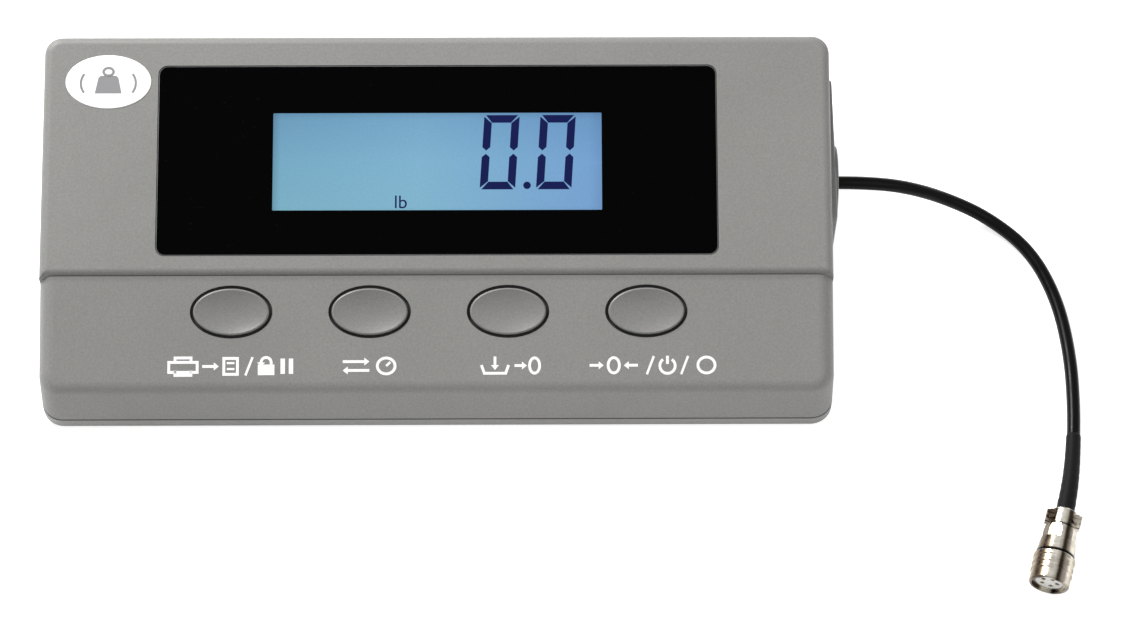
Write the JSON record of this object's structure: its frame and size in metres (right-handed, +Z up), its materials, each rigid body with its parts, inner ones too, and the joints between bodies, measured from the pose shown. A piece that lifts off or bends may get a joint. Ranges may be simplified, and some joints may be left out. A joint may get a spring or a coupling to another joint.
{
  "type": "bench scale indicator",
  "caption": "Wedge-shaped bench scale indicator with a backlit display, a row of oval keys, and a short side cable that ends in a screw-locking metal plug.",
  "frame": {"origin": "on the desk, under the middle of the housing with its side gland", "axes": "+X to the user's right, +Y towards the back, +Z up"},
  "size_m": [0.3556, 0.1872, 0.0561],
  "materials": {
    "housing": "fine moulded texture, warm grey",
    "base": "fine moulded texture, warm grey",
    "key_caps": "satin, warm grey",
    "lens": "polished clear acrylic, black printed behind",
    "mask": "black back print",
    "lcd": "blue backlit liquid crystal panel",
    "light_guide": "milky light guide",
    "badge": "white domed label",
    "label": "blank silver label",
    "black_plastic": "matt",
    "white_plastic": "matt",
    "rubber": "matt",
    "zinc_screw": "zinc plated",
    "nickel": "satin nickel plate",
    "bright_metal": "plain",
    "brass": "plain",
    "circuit_board": "green solder mask",
    "ribbon": "grey flat lead",
    "cell_jacket": "plain printed sleeve",
    "cable_jacket": "smooth black PVC",
    "boot": "black shrink sleeve"
  },
  "bodies": {
    "root": {"top_cover": "housing", "base_shell": "base", "feet": "rubber", "case_screws": "zinc_screw", "bracket_inserts": "brass", "rating_label": "label", "display_lens": "lens", "lens_mask": "mask", "badge": "badge", "lcd_glass": "lcd", "backlight": "light_guide", "elastomer_strips": "rubber", "lcd_frame": "black_plastic", "display_board": "circuit_board", "display_board_screws": "zinc_screw", "switch_bodies": "black_plastic", "key_seals": "rubber", "key_board": "circuit_board", "key_board_screws": "zinc_screw", "main_board": "circuit_board", "main_board_screws": "zinc_screw", "board_chips": "black_plastic", "board_capacitors": "bright_metal", "buzzer": "black_plastic", "ribbon_cable": "ribbon", "battery_cells": "cell_jacket", "battery_contacts": "nickel", "battery_springs": "nickel", "dc_jack": "black_plastic", "dc_jack_pin": "nickel", "serial_port": "nickel", "serial_pins": "brass", "serial_posts": "nickel", "side_cover": "base", "side_cover_screws": "zinc_screw", "gland_flange": "base", "gland_nut": "black_plastic", "inner_lead": "cable_jacket", "lead_socket": "white_plastic", "cable": "cable_jacket", "cable_boot": "boot", "plug_clamp": "nickel", "plug_clamp_screws": "nickel", "plug_backshell": "nickel", "plug_nose": "nickel", "plug_insert": "white_plastic", "plug_contacts": "brass"},
    "key_print": {"key_print": "key_caps", "plunger_print": "white_plastic"},
    "key_unit": {"key_unit": "key_caps", "plunger_unit": "white_plastic"},
    "key_tare": {"key_tare": "key_caps", "plunger_tare": "white_plastic"},
    "key_zero": {"key_zero": "key_caps", "plunger_zero": "white_plastic"},
    "battery_door": {"battery_door": "base"},
    "coupling_nut": {"coupling_nut": "nickel"}
  },
  "joints": [
    {"name": "key_print_press", "type": "slide", "parent": "root", "child": "key_print", "axis": [0, 0.3584, -0.9336], "range_m": [0, 0.001], "stiffness_N_per_m": 600, "springref_m": -0.0005},
    {"name": "key_unit_press", "type": "slide", "parent": "root", "child": "key_unit", "axis": [0, 0.3584, -0.9336], "range_m": [0, 0.001], "stiffness_N_per_m": 600, "springref_m": -0.0005},
    {"name": "key_tare_press", "type": "slide", "parent": "root", "child": "key_tare", "axis": [0, 0.3584, -0.9336], "range_m": [0, 0.001], "stiffness_N_per_m": 600, "springref_m": -0.0005},
    {"name": "key_zero_press", "type": "slide", "parent": "root", "child": "key_zero", "axis": [0, 0.3584, -0.9336], "range_m": [0, 0.001], "stiffness_N_per_m": 600, "springref_m": -0.0005},
    {"name": "battery_door_slide", "type": "slide", "parent": "root", "child": "battery_door", "axis": [0, 1, 0], "range_m": [0, 0.044]},
    {"name": "coupling_nut_turn", "type": "hinge", "parent": "root", "child": "coupling_nut", "pos_m": [0.20417, -0.11875, 0.00715], "axis": [-0.2656, -0.9641, 0], "continuous": true}
  ]
}
